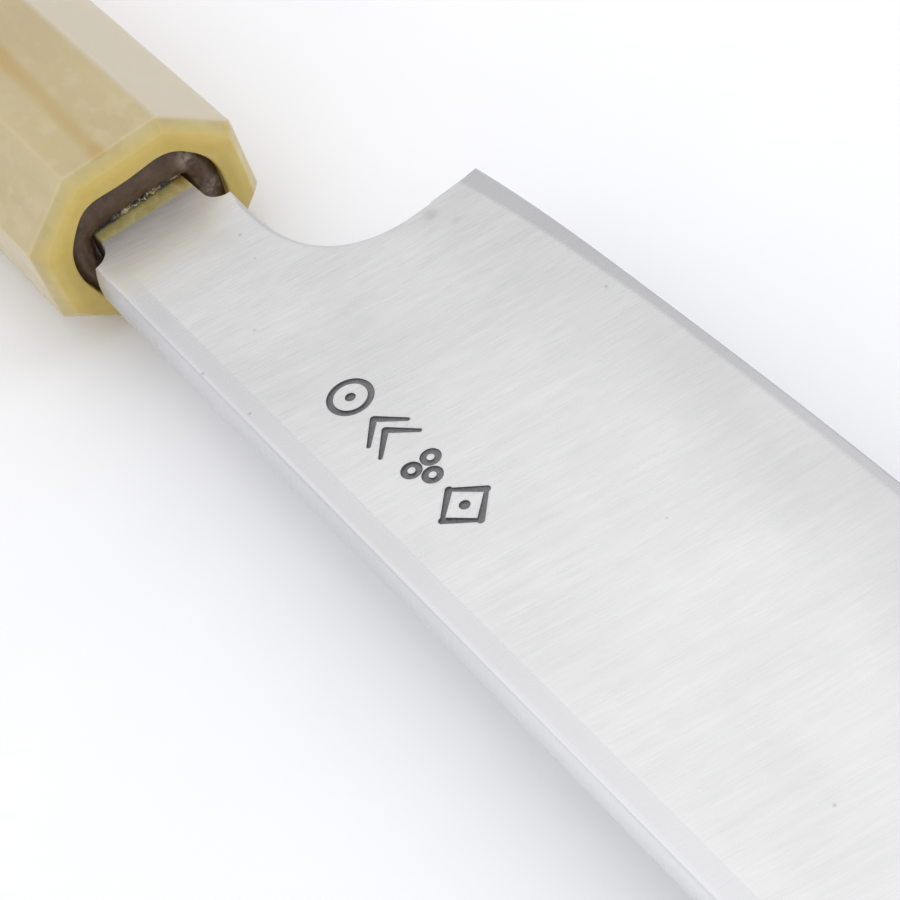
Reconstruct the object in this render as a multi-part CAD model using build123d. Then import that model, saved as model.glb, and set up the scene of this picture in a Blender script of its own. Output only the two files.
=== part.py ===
from build123d import *
import os
from math import atan2, cos, degrees, pi, sin

# Single-bevel boning knife with an octagonal Japanese handle. Millimetres.
#
# Design frame, used by every function below: x = 0 is the front face of the ferrule, +X runs
# towards the tip, +Y towards the cutting edge and +Z out of the flat (ura) side of the blade.
# The handle axis is y = z = 0. lay_flat() then sets the whole knife on one wide handle facet.

# Handle
handle_length = 138.0          # ferrule and wood together
ferrule_length = 36.0
handle_width = 24.0            # across Y, just behind the rounded front of the ferrule
handle_thickness = 19.2        # across Z, at the same place
wide_facet = 11.0              # width of the top and bottom facets there
narrow_facet = 8.6             # height of the two side facets there
butt_growth = 1.104            # the butt's size over the front's
front_round = 2.0              # depth of the soft front edge of the ferrule
front_inset = 1.3
front_bend = 0.3               # where that edge bends, as a share of its depth and its inset
butt_chamfer = 1.6

# Mouth of the ferrule and what fills it
mouth_width = 17.4
mouth_height = 13.3
mouth_power = 2.5              # 2 is an ellipse, higher is squarer
resin_recess = 0.9             # the resin lies this far below the front face
resin_depth = 5.0
bedding = 0.5                  # resin between the tang and the wood
bedding_pool = 3.0             # resin past the tang's end

# Steel
steel = 4.4                    # thickness at the neck
spine_y = -8.2
neck_y = 7.2                   # edge side of the neck
neck_start_edge = 4.6          # where the shoulders (machi) reach the neck's full width
neck_start_spine = 2.8
tang_low_y, tang_high_y = -5.7, 5.2
tang_length = 100.0            # inside the handle
tang_end_width = 6.0
tang_end_thickness = 3.0

# Blade
heel_x = 22.0
blade_length = 180.0           # heel to tip
heel_y = 24.9
edge_y = 25.65                 # deepest point of the cutting edge
edge_deepest_x = 48.0
tip_spine_y = -4.2
tip_nose = 0.55                # blunt width of the very tip
edge_power = 2.7
spine_drop_x = 110.0           # the spine is straight up to here
tip_thickness = 1.8
edge_thickness = 0.2
spine_chamfer = 0.7
shortest_spine_run = 20.0      # the straight spine and its drop to the tip are longer than this
choil_power = 2.6
choil_start_x = 9.0
choil_top_y = 19.5

# Grinds
bevel_width_heel = 15.0        # the bevel on the hidden side, heel and tip
bevel_width_tip = 4.0
spine_rim = 2.6                # flat rims left around the hollow of the ura side
edge_rim = 1.0
edge_rim_heel = 2.1
hollow_radius = 300.0          # radius of the stone that grinds the hollow
hollow_start_x = 11.0
hollow_heel_x = 36.0           # the hollow's floor is straight from each of these to the next
hollow_even_x = 62.0
hollow_end_x = 188.0
hollow_shallow = 0.05          # depth where the hollow starts and ends

# Engraved ornaments: four plain figures in a row along the blade
mark_pitch = 5.8
mark_first_x = 36.3
mark_y = 0.5
mark_size = 4.6
mark_stroke = 0.62
mark_floor = 0.55              # below the plane of the ura side
dot_radius = 0.5
large_ring = 2.2               # outer radius
small_ring = 0.97
small_ring_offset = 1.15       # of three small rings, from the middle of their figure
chevron_start = 2.07           # the first chevron's point, behind the middle of the figure
chevron_reach = 2.3            # a chevron's length along the blade
chevron_half = 2.1             # half its height
chevron_gap = 1.85             # from one to the next

tip_x = heel_x + blade_length
face_z = steel / 2
LARGE = 60.0


def across(x):
    """The plane across the knife at x: its own axes are Y and Z."""
    return Plane(origin=(x, 0, 0), x_dir=(0, 1, 0), z_dir=(1, 0, 0))


def growth(x):
    """Size of the handle's section at x, over its size just behind the ferrule's front."""
    return 1 + (butt_growth - 1) * (-front_round - x) / (handle_length - front_round)


def octagon(x, inset=0.0):
    """Corners of the handle's octagon at x. An inset shrinks it evenly, so all facets stay flat."""
    k = growth(x) * (1 - inset / (handle_thickness / 2))
    y, z = k * handle_width / 2, k * handle_thickness / 2
    y_flat, z_flat = k * wide_facet / 2, k * narrow_facet / 2
    quarter = [(y, z_flat), (y_flat, z)]
    half = quarter + [(-a, b) for a, b in reversed(quarter)]
    return [(x, a, b) for a, b in half + [(-a, -b) for a, b in half]]


def facetted(sections):
    """A solid with flat faces through octagons, given as (x, inset) from back to front."""
    rings = [octagon(x, inset) for x, inset in sections]
    outlines = [rings[0], rings[-1]]
    for back, front in zip(rings, rings[1:]):
        outlines += [(back[i - 1], back[i], front[i], front[i - 1]) for i in range(len(back))]
    return Solid(Shell([make_face(Polyline(*outline, close=True)).face() for outline in outlines]))


def superellipse(width, height, power, count=24):
    """Points around a closed superellipse."""
    points = []
    for i in range(count):
        c, s = cos(2 * pi * i / count), sin(2 * pi * i / count)
        size = (abs(c) ** power + abs(s) ** power) ** (-1 / power)
        points.append((width / 2 * size * c, height / 2 * size * s))
    return points


def mouth(x_back, x_front):
    """The oblong that goes through the ferrule, as a solid from x_back to x_front."""
    outline = Spline(*superellipse(mouth_width, mouth_height, mouth_power), periodic=True)
    return extrude(across(x_back) * make_face(outline), x_front - x_back)


def edge_at(x):
    """Y of the cutting edge at x."""
    if x < edge_deepest_x:
        back = (edge_deepest_x - x) / (edge_deepest_x - heel_x)
        return edge_y - (edge_y - heel_y) * back ** 3
    ahead = (x - edge_deepest_x) / (tip_x - edge_deepest_x)
    return edge_y - (edge_y - tip_spine_y - tip_nose) * ahead ** edge_power


def spine_at(x):
    """Y of the spine at x."""
    ahead = max(0.0, (x - spine_drop_x) / (tip_x - spine_drop_x))
    return spine_y + (tip_spine_y - spine_y) * ahead ** 2


def back_at(x):
    """Z of the flat on the hidden side: full thickness to the heel, then thinner to the tip."""
    ahead = max(0.0, (x - heel_x) / blade_length)
    return -steel / 2 + (steel - tip_thickness) * ahead


def steps(first, last, count):
    """Evenly spaced numbers, both ends included."""
    return [first + (last - first) * i / (count - 1) for i in range(count)]


def choil_points(count=8):
    """The quarter of a superellipse from the neck up to the straight back of the heel."""
    points = []
    for i in range(1, count):
        angle = pi / 2 * i / (count - 1)
        c, s = cos(angle), sin(angle)
        size = (c ** choil_power + s ** choil_power) ** (-1 / choil_power)
        points.append((
            choil_start_x + (heel_x - choil_start_x) * size * s,
            choil_top_y - (choil_top_y - neck_y) * size * c,
        ))
    return points


def blade_outline():
    """The side view of the blade, the neck and its rounded shoulders, down to the tang's width."""
    choil = choil_points()
    low_round = tang_low_y - spine_y
    high_round = neck_y - tang_high_y
    straight_spine = Line((spine_drop_x, spine_y), (neck_start_spine, spine_y))
    low_shoulder = RadiusArc(
        (neck_start_spine, spine_y), (neck_start_spine - low_round, tang_low_y), -low_round
    )
    high_shoulder = RadiusArc(
        (neck_start_edge - high_round, tang_high_y), (neck_start_edge, neck_y), -high_round
    )
    tip_side = [(x, spine_at(x)) for x in steps(tip_x, spine_drop_x, 6)]
    tip_slope = 2 * (tip_spine_y - spine_y) / (tip_x - spine_drop_x)
    edge = [(x, edge_at(x)) for x in steps(heel_x, tip_x, 12)]
    return make_face(Curve() + [
        straight_spine,
        low_shoulder,
        Line(low_shoulder @ 1, high_shoulder @ 0),
        high_shoulder,
        Line((neck_start_edge, neck_y), (choil_start_x, neck_y)),
        Spline((choil_start_x, neck_y), *choil, tangents=[(1, 0), (0, 1)]),
        Line((heel_x, choil_top_y), (heel_x, heel_y)),
        Spline(*edge),
        Line(edge[-1], tip_side[0]),
        Spline(*tip_side, tangents=[(-1, -tip_slope), (-1, 0)]),
    ])


def tang():
    """A bar that narrows and thins towards its end, from inside the neck back into the handle."""
    middle = (tang_low_y + tang_high_y) / 2
    front = Rectangle(tang_high_y - tang_low_y, steel)
    end = Rectangle(tang_end_width, tang_end_thickness)
    return loft([
        across(-tang_length) * Pos(middle, 0) * end,
        across(neck_start_edge) * Pos(middle, 0) * front,
    ])


def bevel_width(x):
    """Width of the bevel on the hidden side, from the cutting edge to the ridge line."""
    ahead = max(0.0, (x - heel_x) / blade_length)
    return bevel_width_heel + (bevel_width_tip - bevel_width_heel) * ahead


def bevel_cutter():
    """What the grind on the hidden side takes off, from the ridge line to the cutting edge."""
    sections = []
    for x in steps(choil_start_x, tip_x + 1, 11):
        edge = edge_at(max(x, heel_x))
        ridge = edge - bevel_width(x)
        height = face_z - edge_thickness
        slope = (height - back_at(x)) / (edge - ridge)
        sections.append(across(x) * make_face(Polyline(
            (ridge - 1, back_at(x) - slope), (edge + 2, height + 2 * slope),
            (edge + 2, -LARGE), (ridge - 1, -LARGE), close=True,
        )))
    return loft(sections, ruled=True)


def hollow_limits(x):
    """The low and high Y of the hollow at x."""
    near_heel = max(0.0, 1 - max(0.0, x - heel_x) / (edge_deepest_x - heel_x))
    rim = edge_rim + (edge_rim_heel - edge_rim) * near_heel
    return spine_at(x) + spine_rim, edge_at(max(x, heel_x)) - rim


def hollow_cutter():
    """The shallow hollow (urasuki) of the flat side: a slice of a very large grindstone."""
    sections = []
    for x in [hollow_start_x, hollow_heel_x] + steps(hollow_even_x, hollow_end_x, 6):
        low, high = hollow_limits(x)
        depth = max((high - low) ** 2 / (8 * hollow_radius), hollow_shallow)
        if x == hollow_start_x:
            depth = hollow_shallow
        arc = ThreePointArc((low, face_z), ((low + high) / 2, face_z - depth), (high, face_z))
        top = Polyline((high, face_z), (high, face_z + 1), (low, face_z + 1), (low, face_z))
        sections.append(across(x) * make_face(arc + top))
    return loft(sections, ruled=True)


def stroke(start, end):
    """One chisel stroke of an ornament, from point to point."""
    a, b = Vector(*start), Vector(*end)
    run = b - a
    turn = degrees(atan2(run.Y, run.X))
    return Pos(*((a + b) * 0.5)) * Rot(0, 0, turn) * SlotCenterToCenter(run.length, mark_stroke)


def ring(radius):
    return Circle(radius) - Circle(radius - mark_stroke)


def chevrons():
    """Two arrowheads, one behind the other, that point back to the handle."""
    strokes = []
    for start in (-chevron_start, chevron_gap - chevron_start):
        for side in (-chevron_half, chevron_half):
            strokes.append(stroke((start, 0), (start + chevron_reach, side)))
    return Sketch() + strokes


def trefoil():
    """Three small rings that touch almost, one of them on the tip's side."""
    turns = [2 * pi * i / 3 for i in range(3)]
    places = [(small_ring_offset * cos(turn), small_ring_offset * sin(turn)) for turn in turns]
    return Sketch() + [Pos(*place) * ring(small_ring) for place in places]


def diamond():
    half = mark_size / 2
    corners = [(half, 0), (0, half), (-half, 0), (0, -half)]
    return Sketch() + [stroke(corners[i - 1], corners[i]) for i in range(4)]


def ornaments():
    """Four plain figures in a row: a ring, chevrons, a trefoil and a diamond."""
    dot = Circle(dot_radius)
    figures = [ring(large_ring) + dot, chevrons(), trefoil(), diamond() + dot]
    return [
        Pos(mark_first_x + i * mark_pitch, mark_y) * figure for i, figure in enumerate(figures)
    ]


def half_space_below(x, z):
    """A deep rectangle across the knife at x, whose top edge is at z."""
    corners = [(-LARGE, z), (LARGE, z), (LARGE, -LARGE), (-LARGE, -LARGE)]
    return across(x) * make_face(Polyline(*corners, close=True))


def make_blade():
    """Neck, blade and hidden tang, ground and engraved: one piece of steel."""
    body = extrude(blade_outline(), steel / 2, both=True)
    long_edges = body.edges().filter_by(lambda edge: edge.length > shortest_spine_run)
    spine_edges = long_edges.filter_by(
        lambda edge: edge.center().Y < tip_spine_y and abs(edge.center().Z) > steel / 4
    )
    body = chamfer(spine_edges, spine_chamfer)
    distal_taper = loft(
        [half_space_below(x, back_at(x)) for x in (heel_x, tip_x + 1)], ruled=True
    )
    body = body - distal_taper - bevel_cutter() - hollow_cutter()
    for figure in ornaments():
        body -= extrude(Pos(0, 0, face_z - mark_floor) * figure, mark_floor + 1)
    return body + tang()


def make_ferrule():
    """Octagonal ring of horn with a softly rounded front, open right through."""
    shell = facetted([
        (-ferrule_length, 0),
        (-front_round, 0),
        (-front_bend * front_round, front_bend * front_inset),
        (0, front_inset),
    ])
    return shell - mouth(-ferrule_length - 1, 1)


def make_tang_socket():
    """The space in the wood for the tang and the resin around it."""
    middle = (tang_low_y + tang_high_y) / 2
    front = Rectangle(tang_high_y - tang_low_y + 2 * bedding, steel + 2 * bedding)
    end = Rectangle(tang_end_width + 2 * bedding, tang_end_thickness + 2 * bedding)
    return loft([
        across(-tang_length - bedding_pool) * Pos(middle, 0) * end,
        across(-resin_depth) * Pos(middle, 0) * front,
    ])


def make_handle():
    """Octagonal wood with the tenon that fills the ferrule, up to the resin in its mouth."""
    butt = -handle_length
    wood = facetted([(butt, butt_chamfer), (butt + butt_chamfer, 0), (-ferrule_length, 0)])
    return wood + mouth(-ferrule_length, -resin_depth) - make_tang_socket()


def lay_flat(pieces):
    """Turns the knife onto its lower wide facet and puts the origin under its middle."""
    slope = atan2((butt_growth - 1) * handle_thickness / 2, handle_length - front_round)
    turned = [Rot(0, degrees(slope), 0) * piece for piece in pieces]
    box = Compound(turned).bounding_box()
    middle = box.center()
    return [Pos(-middle.X, -middle.Y, -box.min.Z) * piece for piece in turned]


def main():
    blade = make_blade()
    parts = {
        "blade": blade,
        "horn_ferrule": make_ferrule(),
        "handle_body": make_handle(),
        "mouth_resin": mouth(-resin_depth, -resin_recess) - tang(),
        "tang_bedding": make_tang_socket() - tang(),
    }
    os.makedirs("parts", exist_ok=True)
    for name, piece in zip(parts, lay_flat(parts.values())):
        export_step(piece, f"parts/{name}.step")


main()
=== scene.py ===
import math

import bmesh
import bpy
import numpy as np
from mathutils import Matrix, Vector, noise


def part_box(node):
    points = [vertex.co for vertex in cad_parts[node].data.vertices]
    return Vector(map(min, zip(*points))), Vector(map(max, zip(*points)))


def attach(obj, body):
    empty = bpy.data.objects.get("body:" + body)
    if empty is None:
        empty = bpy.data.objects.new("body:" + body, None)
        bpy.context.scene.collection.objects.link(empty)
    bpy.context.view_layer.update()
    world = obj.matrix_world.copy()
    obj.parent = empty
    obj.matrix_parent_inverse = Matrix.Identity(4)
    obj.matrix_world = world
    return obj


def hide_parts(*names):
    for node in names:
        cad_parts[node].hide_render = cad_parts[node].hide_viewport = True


# A single-bevel boning knife on a white table. Lengths are in millimetres in the knife's own
# frame: x = 0 is the front face of the ferrule, +X runs to the tip, +Y to the cutting edge and
# +Z out of the flat side of the blade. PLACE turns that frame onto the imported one, in metres.

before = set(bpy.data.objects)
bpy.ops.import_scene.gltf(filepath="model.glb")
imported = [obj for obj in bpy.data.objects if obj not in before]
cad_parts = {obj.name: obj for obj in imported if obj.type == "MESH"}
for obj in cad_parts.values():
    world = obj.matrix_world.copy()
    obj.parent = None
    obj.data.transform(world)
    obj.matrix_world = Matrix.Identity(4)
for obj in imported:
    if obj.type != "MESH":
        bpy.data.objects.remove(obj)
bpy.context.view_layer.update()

MM = 0.001

# Handle
HANDLE_LENGTH = 138.0
FERRULE_LENGTH = 36.0
HANDLE_WIDTH, HANDLE_THICKNESS = 24.0, 19.2
WIDE_FACET, NARROW_FACET = 11.0, 8.6
BUTT_GROWTH = 1.104
FRONT_ROUND, FRONT_DOME = 2.0, 0.3
RIDGE_ROUND = 0.28
BUTT_ROUND = 1.6
FACET_POINTS, RIDGE_POINTS = 9, 5
SEAM_GROOVE = ((0.0, 0.98), (0.1, 0.995))  # between horn and wood: mm from the seam, share of size
SEAM_WIDTH = 0.4

# Mouth of the ferrule
MOUTH_WIDTH, MOUTH_HEIGHT, MOUTH_POWER = 17.4, 13.3, 2.5
MOUTH_SHARE, MOUTH_ROUGHNESS = 0.98, 0.008
# Where it was cut wider or narrower: by what share, at how many degrees round it, how far
MOUTH_SWELLS = ((0.03, 160, 45), (0.085, 120, 14), (0.08, 65, 16), (-0.03, 200, 14))
MOUTH_LIP, LIP_SHARE = 0.2, 0.06  # how round, and how far that reaches towards the facets
FRONT_WIDTH = 3.1  # from the mouth to the facets, as the horn's "inset" counts it
TENON_SHARE, RESIN_SHARE = 0.97, 0.995
RESIN_RECESS, RESIN_DEPTH = 0.9, 5.0
RESIN_SLOT_TOP, RESIN_SLOT_SIDE = 1.5, 0.35  # how deep the resin is broken along the tang
RESIN_STEPS = 40
TANG_CLEARANCE, TANG_HOLE_POWER = 0.02, 9
BEAD_RINGS, BEAD_SIDES = 150, 16

# Steel
STEEL = 4.4
FACE_Z = STEEL / 2
SPINE_Y, NECK_Y = -8.2, 7.2
NECK_START_EDGE, NECK_START_SPINE = 4.6, 2.8
TANG_LOW_Y, TANG_HIGH_Y = -5.7, 5.2
TANG_LENGTH, TANG_END_WIDTH, TANG_END_THICKNESS = 100.0, 6.0, 3.0
TANG_TAPER_START = 6.0
HEEL_X, HEEL_Y = 22.0, 24.9
BLADE_LENGTH = 180.0
TIP_X = HEEL_X + BLADE_LENGTH
EDGE_Y, EDGE_DEEPEST_X, EDGE_POWER = 25.65, 48.0, 2.7
TIP_SPINE_Y, TIP_NOSE = -4.2, 0.55
SPINE_DROP_X = 110.0
TIP_THICKNESS = 1.8
EDGE_THICKNESS = 0.12
SPINE_CHAMFER, TANG_CHAMFER = 0.7, 0.25
TANG_WALL_ROUND, CHOIL_WALL_ROUND, HEEL_WALL_ROUND = 0.05, 0.6, 0.3
CHOIL_START_X, CHOIL_TOP_Y, CHOIL_POWER = 9.0, 19.5, 2.6
BEVEL_HEEL, BEVEL_TIP = 15.0, 4.0
SPINE_RIM, EDGE_RIM, EDGE_RIM_HEEL = 2.6, 1.0, 2.1
HOLLOW_RADIUS = 300.0
HOLLOW_START_X, HOLLOW_FADE_IN = 5.0, 28.0
HOLLOW_END_X, HOLLOW_FADE_OUT = 192.0, 30.0
ARRIS_SHARP = 18.0  # degrees

# Sections along the blade: the edge side goes round shoulder, neck, choil, heel and belly while
# the spine side runs straight on beside them, a little ahead at the heel.
TANG_SECTIONS, SHOULDER_SECTIONS, NECK_SECTIONS, CHOIL_SECTIONS = 25, 11, 9, 46
HEEL_SECTIONS, BELLY_SECTIONS, FRONT_SECTIONS = 16, 40, 180
SPINE_BY_CHOIL_X, SPINE_LEAD = 7.5, 5.0

# Points across a section of the blade
SPINE_WALL_POINTS, SPINE_RIM_POINTS, HOLLOW_POINTS, EDGE_RIM_POINTS = 9, 5, 46, 6
BEVEL_POINTS, BACK_POINTS = 18, 17

# Engraved ornaments. Shares are of half an ornament's size.
MARK_PITCH, MARK_FIRST_X, MARK_Y = 5.8, 36.3, 0.5
MARK_SIZE, MARK_STROKE, MARK_DEPTH = 4.6, 0.62, 0.2
STROKE_START, STROKE_END = 0.56, 0.33  # half widths, in strokes
RING_SHARE, DOT_STROKES = 0.95, 0.8
CHEVRON_STEP, CHEVRON_REACH, CHEVRON_BACK = 0.8, 0.9, 0.1
SMALL_RING_SHARE, SMALL_RING_OFFSET = 0.42, 1.15

# Marks on the steel: where, and radius in mm
SPECKS = (
    ((14.6, 3.9, 2.2), 0.16), ((22.5, -1.1, 2.2), 0.20), ((10.7, 4.6, 2.2), 0.20),
    ((23.4, -7.4, 2.2), 0.22), ((43.8, 23.4, 2.2), 0.20), ((31.0, -6.9, 2.2), 0.18),
    ((67.0, 11.0, 1.9), 0.14), ((95.0, 3.0, 1.9), 0.16), ((121.0, 9.0, 1.9), 0.15),
)
# Stains and scuffs: where, radius in mm, strength
HEEL_STAINS = (((23.5, 18.4, 2.1), 1.1, 0.45), ((26.1, 19.6, 2.1), 0.7, 0.25))
RESIN_SCUFFS = (
    ((-1.0, 6.0, 4.3), 1.5, 0.75), ((-1.2, 7.3, -0.3), 1.8, 0.8), ((-1.2, 5.9, 1.0), 0.8, 0.5),
)
RUST_SPOT = (-1.2, 4.6, 2.2)

# Table and light, in metres and watts
TABLE_SIZE = 40.0  # so that its edge never shows
LAMP_PLACE, LAMP_SIZE, LAMP_POWER = (0.35, 0.75, 1.0), 0.7, 1.6
ROOM_UP = (0.0, -0.5, 1.0)
ROOM_LIGHT = (  # how far a direction points along ROOM_UP, brightness there
    (0.0, 1.1), (0.2, 1.05), (0.40, 0.72), (0.46, 0.55), (0.55, 0.62), (0.58, 0.75),
    (0.606, 0.91), (0.634, 1.03), (0.69, 1.07), (0.74, 1.15), (0.83, 1.30), (0.92, 1.24),
    (1.0, 0.95),
)
HORIZON_LIGHT = (1.0, 1.0, 1.01)
HORIZON_LOW, HORIZON_HIGH = 0.03, 0.3

# Camera, in the knife's own frame
EYE = (160.5, -35.0, 130.0)
LOOK = (-0.6441, 0.2180, -0.7332)
PICTURE_DOWN = (0.51774, -0.58137, -0.62766)
SENSOR_WIDTH, LENS, CLIP_START = 36.0, 84.08, 0.005


def lay_flat():
    """The matrix from the knife's own frame, in mm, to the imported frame, in metres."""
    turn = math.atan2((BUTT_GROWTH - 1) * HANDLE_THICKNESS / 2, HANDLE_LENGTH - FRONT_ROUND)
    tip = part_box("blade")[1].x - (TIP_X * math.cos(turn) + FACE_Z * math.sin(turn)) * MM
    low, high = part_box("handle_body")
    rise = (HANDLE_THICKNESS / 2 * math.cos(turn) - FRONT_ROUND * math.sin(turn)) * MM
    middle = Vector((tip, (low.y + high.y) / 2, rise))
    return Matrix.Translation(middle) @ Matrix.Rotation(turn, 4, "Y") @ Matrix.Scale(MM, 4)


PLACE = lay_flat()


def smooth(t):
    """An even step from 0 to 1 while t goes from 0 to 1."""
    t = np.clip(t, 0.0, 1.0)
    return t * t * (3 - 2 * t)


def bump(value, centre, width):
    return math.exp(-(((value - centre) / width) ** 2))


def mix(a, b, t):
    return a + (b - a) * t


def steps(count):
    """Even shares from just above 0 up to 1."""
    return np.linspace(0, 1, count + 1)[1:]


def quarter(degrees):
    """How far a rounded corner has gone along each of its two sides: sine, and 1 - cosine."""
    angle = math.radians(degrees)
    return math.sin(angle), 1 - math.cos(angle)


# ---------------------------------------------------------------- mesh tools


def ring_mesh(name, rings, closed=False, sharp_degrees=30.0, fields=None):
    """A skin over rings of equally many points. Open ends are capped, closed ones meet again."""
    rings = np.asarray(rings, float)
    count, around = rings.shape[:2]
    faces = []
    for i in range(count if closed else count - 1):
        here, ahead = i * around, (i + 1) % count * around
        for j in range(around):
            k = (j + 1) % around
            faces.append((here + j, here + k, ahead + k, ahead + j))
    if not closed:
        faces.append(tuple(range(around))[::-1])
        faces.append(tuple(range((count - 1) * around, count * around)))
    mesh = bpy.data.meshes.new(name)
    mesh.from_pydata(rings.reshape(-1, 3).tolist(), [], faces)
    mesh.transform(PLACE)
    bm = bmesh.new()
    bm.from_mesh(mesh)
    bmesh.ops.recalc_face_normals(bm, faces=bm.faces)
    bm.to_mesh(mesh)
    bm.free()
    mesh.polygons.foreach_set("use_smooth", [True] * len(mesh.polygons))
    mesh.set_sharp_from_angle(angle=math.radians(sharp_degrees))
    for field, values in (fields or {}).items():
        mesh.attributes.new(field, "FLOAT", "POINT").data.foreach_set("value", np.ravel(values))
    piece = bpy.data.objects.new(name, mesh)
    bpy.context.scene.collection.objects.link(piece)
    return piece


def wear(piece, material):
    piece.data.materials.append(material)
    return piece


def finish_piece(piece, slot, *replaced):
    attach(piece, "root")
    if replaced:
        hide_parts(*replaced)


# ---------------------------------------------------------------- blade


def edge_at(x):
    """Y of the cutting edge."""
    if x < EDGE_DEEPEST_X:
        back = (EDGE_DEEPEST_X - x) / (EDGE_DEEPEST_X - HEEL_X)
        return EDGE_Y - (EDGE_Y - HEEL_Y) * back**3
    ahead = (x - EDGE_DEEPEST_X) / (TIP_X - EDGE_DEEPEST_X)
    return EDGE_Y - (EDGE_Y - TIP_SPINE_Y - TIP_NOSE) * ahead**EDGE_POWER


def spine_at(x):
    """Y of the spine, which drops a little to the tip."""
    ahead = max(0.0, (x - SPINE_DROP_X) / (TIP_X - SPINE_DROP_X))
    return SPINE_Y + (TIP_SPINE_Y - SPINE_Y) * ahead**2


def bevel_width(x):
    return mix(BEVEL_HEEL, BEVEL_TIP, max(0.0, (x - HEEL_X) / BLADE_LENGTH))


def rim_at(x):
    """Width of the flat rim along the cutting edge."""
    near_heel = max(0.0, 1 - max(0.0, x - HEEL_X) / (EDGE_DEEPEST_X - HEEL_X))
    return mix(EDGE_RIM, EDGE_RIM_HEEL, near_heel)


def tang_share(x):
    """0 in front of the mouth's resin, 1 at the tang's end."""
    return min(1.0, max(0.0, (-TANG_TAPER_START - x) / (TANG_LENGTH - TANG_TAPER_START)))


def wall_round(x):
    """How far the wall opposite the spine is rounded: hardly on the tang, most in the choil."""
    if x < HEEL_X:
        return mix(TANG_WALL_ROUND, CHOIL_WALL_ROUND, smooth((x - NECK_START_EDGE) / 3.0))
    return HEEL_WALL_ROUND


def top_at(x, y):
    """Z of the flat side, with its hollow."""
    z = FACE_Z - (STEEL - TANG_END_THICKNESS) / 2 * tang_share(x)
    low = spine_at(x) + SPINE_RIM
    high = edge_at(max(x, HEEL_X)) - rim_at(x)
    reach = (high - low) / 2
    depth = (reach**2 - (y - (low + high) / 2) ** 2) / (2 * HOLLOW_RADIUS)
    fade = smooth((x - HOLLOW_START_X) / HOLLOW_FADE_IN)
    fade *= smooth((HOLLOW_END_X - x) / HOLLOW_FADE_OUT)
    return z - max(0.0, depth) * fade


def bottom_at(x, y):
    """Z of the hidden side: a flat that thins to the tip, and the bevel down to the edge."""
    flat = -STEEL / 2 + (STEEL - TIP_THICKNESS) * max(0.0, (x - HEEL_X) / BLADE_LENGTH)
    flat += (STEEL - TANG_END_THICKNESS) / 2 * tang_share(x)
    edge = edge_at(max(x, HEEL_X))
    along = (y - (edge - bevel_width(x))) / bevel_width(x)
    return mix(flat, FACE_Z - EDGE_THICKNESS, min(1.0, along)) if along > 0 else flat


def choil_curve():
    """A quarter superellipse, from the neck up to the straight back of the heel."""
    points = []
    for i in range(CHOIL_SECTIONS):
        angle = math.pi / 2 * i / (CHOIL_SECTIONS - 1)
        c, s = math.cos(angle), math.sin(angle)
        size = (c**CHOIL_POWER + s**CHOIL_POWER) ** (-1 / CHOIL_POWER)
        points.append((
            CHOIL_START_X + (HEEL_X - CHOIL_START_X) * size * s,
            CHOIL_TOP_Y - (CHOIL_TOP_Y - NECK_Y) * size * c,
        ))
    return points


def blade_rails():
    """Matching points along the spine side and the edge side, from the tang's end to the tip."""
    spine, edge = [], []
    high_round, low_round = NECK_Y - TANG_HIGH_Y, TANG_LOW_Y - SPINE_Y
    high_x, low_x = NECK_START_EDGE - high_round, NECK_START_SPINE - low_round
    middle = (TANG_LOW_Y + TANG_HIGH_Y) / 2
    sides = ((spine, low_x, TANG_LOW_Y, -1), (edge, high_x, TANG_HIGH_Y, 1))
    for t in np.linspace(0, 1, TANG_SECTIONS + 1)[:-1]:
        t = 1 - (1 - t) ** 2
        for rail, x_end, y_end, side in sides:
            far_y = middle + side * TANG_END_WIDTH / 2
            rail.append((mix(-TANG_LENGTH, x_end, t), mix(far_y, y_end, t)))
    for a in np.linspace(0, math.pi / 2, SHOULDER_SECTIONS):
        spine.append((low_x + low_round * math.sin(a), SPINE_Y + low_round * math.cos(a)))
        edge.append((high_x + high_round * math.sin(a), NECK_Y - high_round * math.cos(a)))
    for t in np.linspace(0, 1, NECK_SECTIONS + 2)[1:-1]:
        spine.append((mix(NECK_START_SPINE, SPINE_BY_CHOIL_X, t), SPINE_Y))
        edge.append((mix(NECK_START_EDGE, CHOIL_START_X, t), NECK_Y))
    for i, point in enumerate(choil_curve()):
        spine.append((mix(SPINE_BY_CHOIL_X, HEEL_X, i / (CHOIL_SECTIONS - 1)), SPINE_Y))
        edge.append(point)
    for t in steps(HEEL_SECTIONS):
        spine.append((mix(HEEL_X, HEEL_X + SPINE_LEAD, t), SPINE_Y))
        edge.append((HEEL_X, mix(CHOIL_TOP_Y, HEEL_Y, t)))
    for t in steps(BELLY_SECTIONS):
        x = mix(HEEL_X, EDGE_DEEPEST_X, t)
        edge.append((x, edge_at(x)))
        spine.append((x + SPINE_LEAD * (1 - t) ** 2 * (1 + 0.4 * t), SPINE_Y))
    for x in np.linspace(EDGE_DEEPEST_X, TIP_X, FRONT_SECTIONS + 1)[1:]:
        spine.append((x, spine_at(x)))
        edge.append((x, edge_at(x)))
    return np.array(spine), np.array(edge)


def inward_normals(rail):
    """Unit vectors across a rail, pointing left of its run."""
    run = np.gradient(rail, axis=0)
    run /= np.linalg.norm(run, axis=1)[:, None]
    return np.stack([-run[:, 1], run[:, 0]], axis=1)


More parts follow.
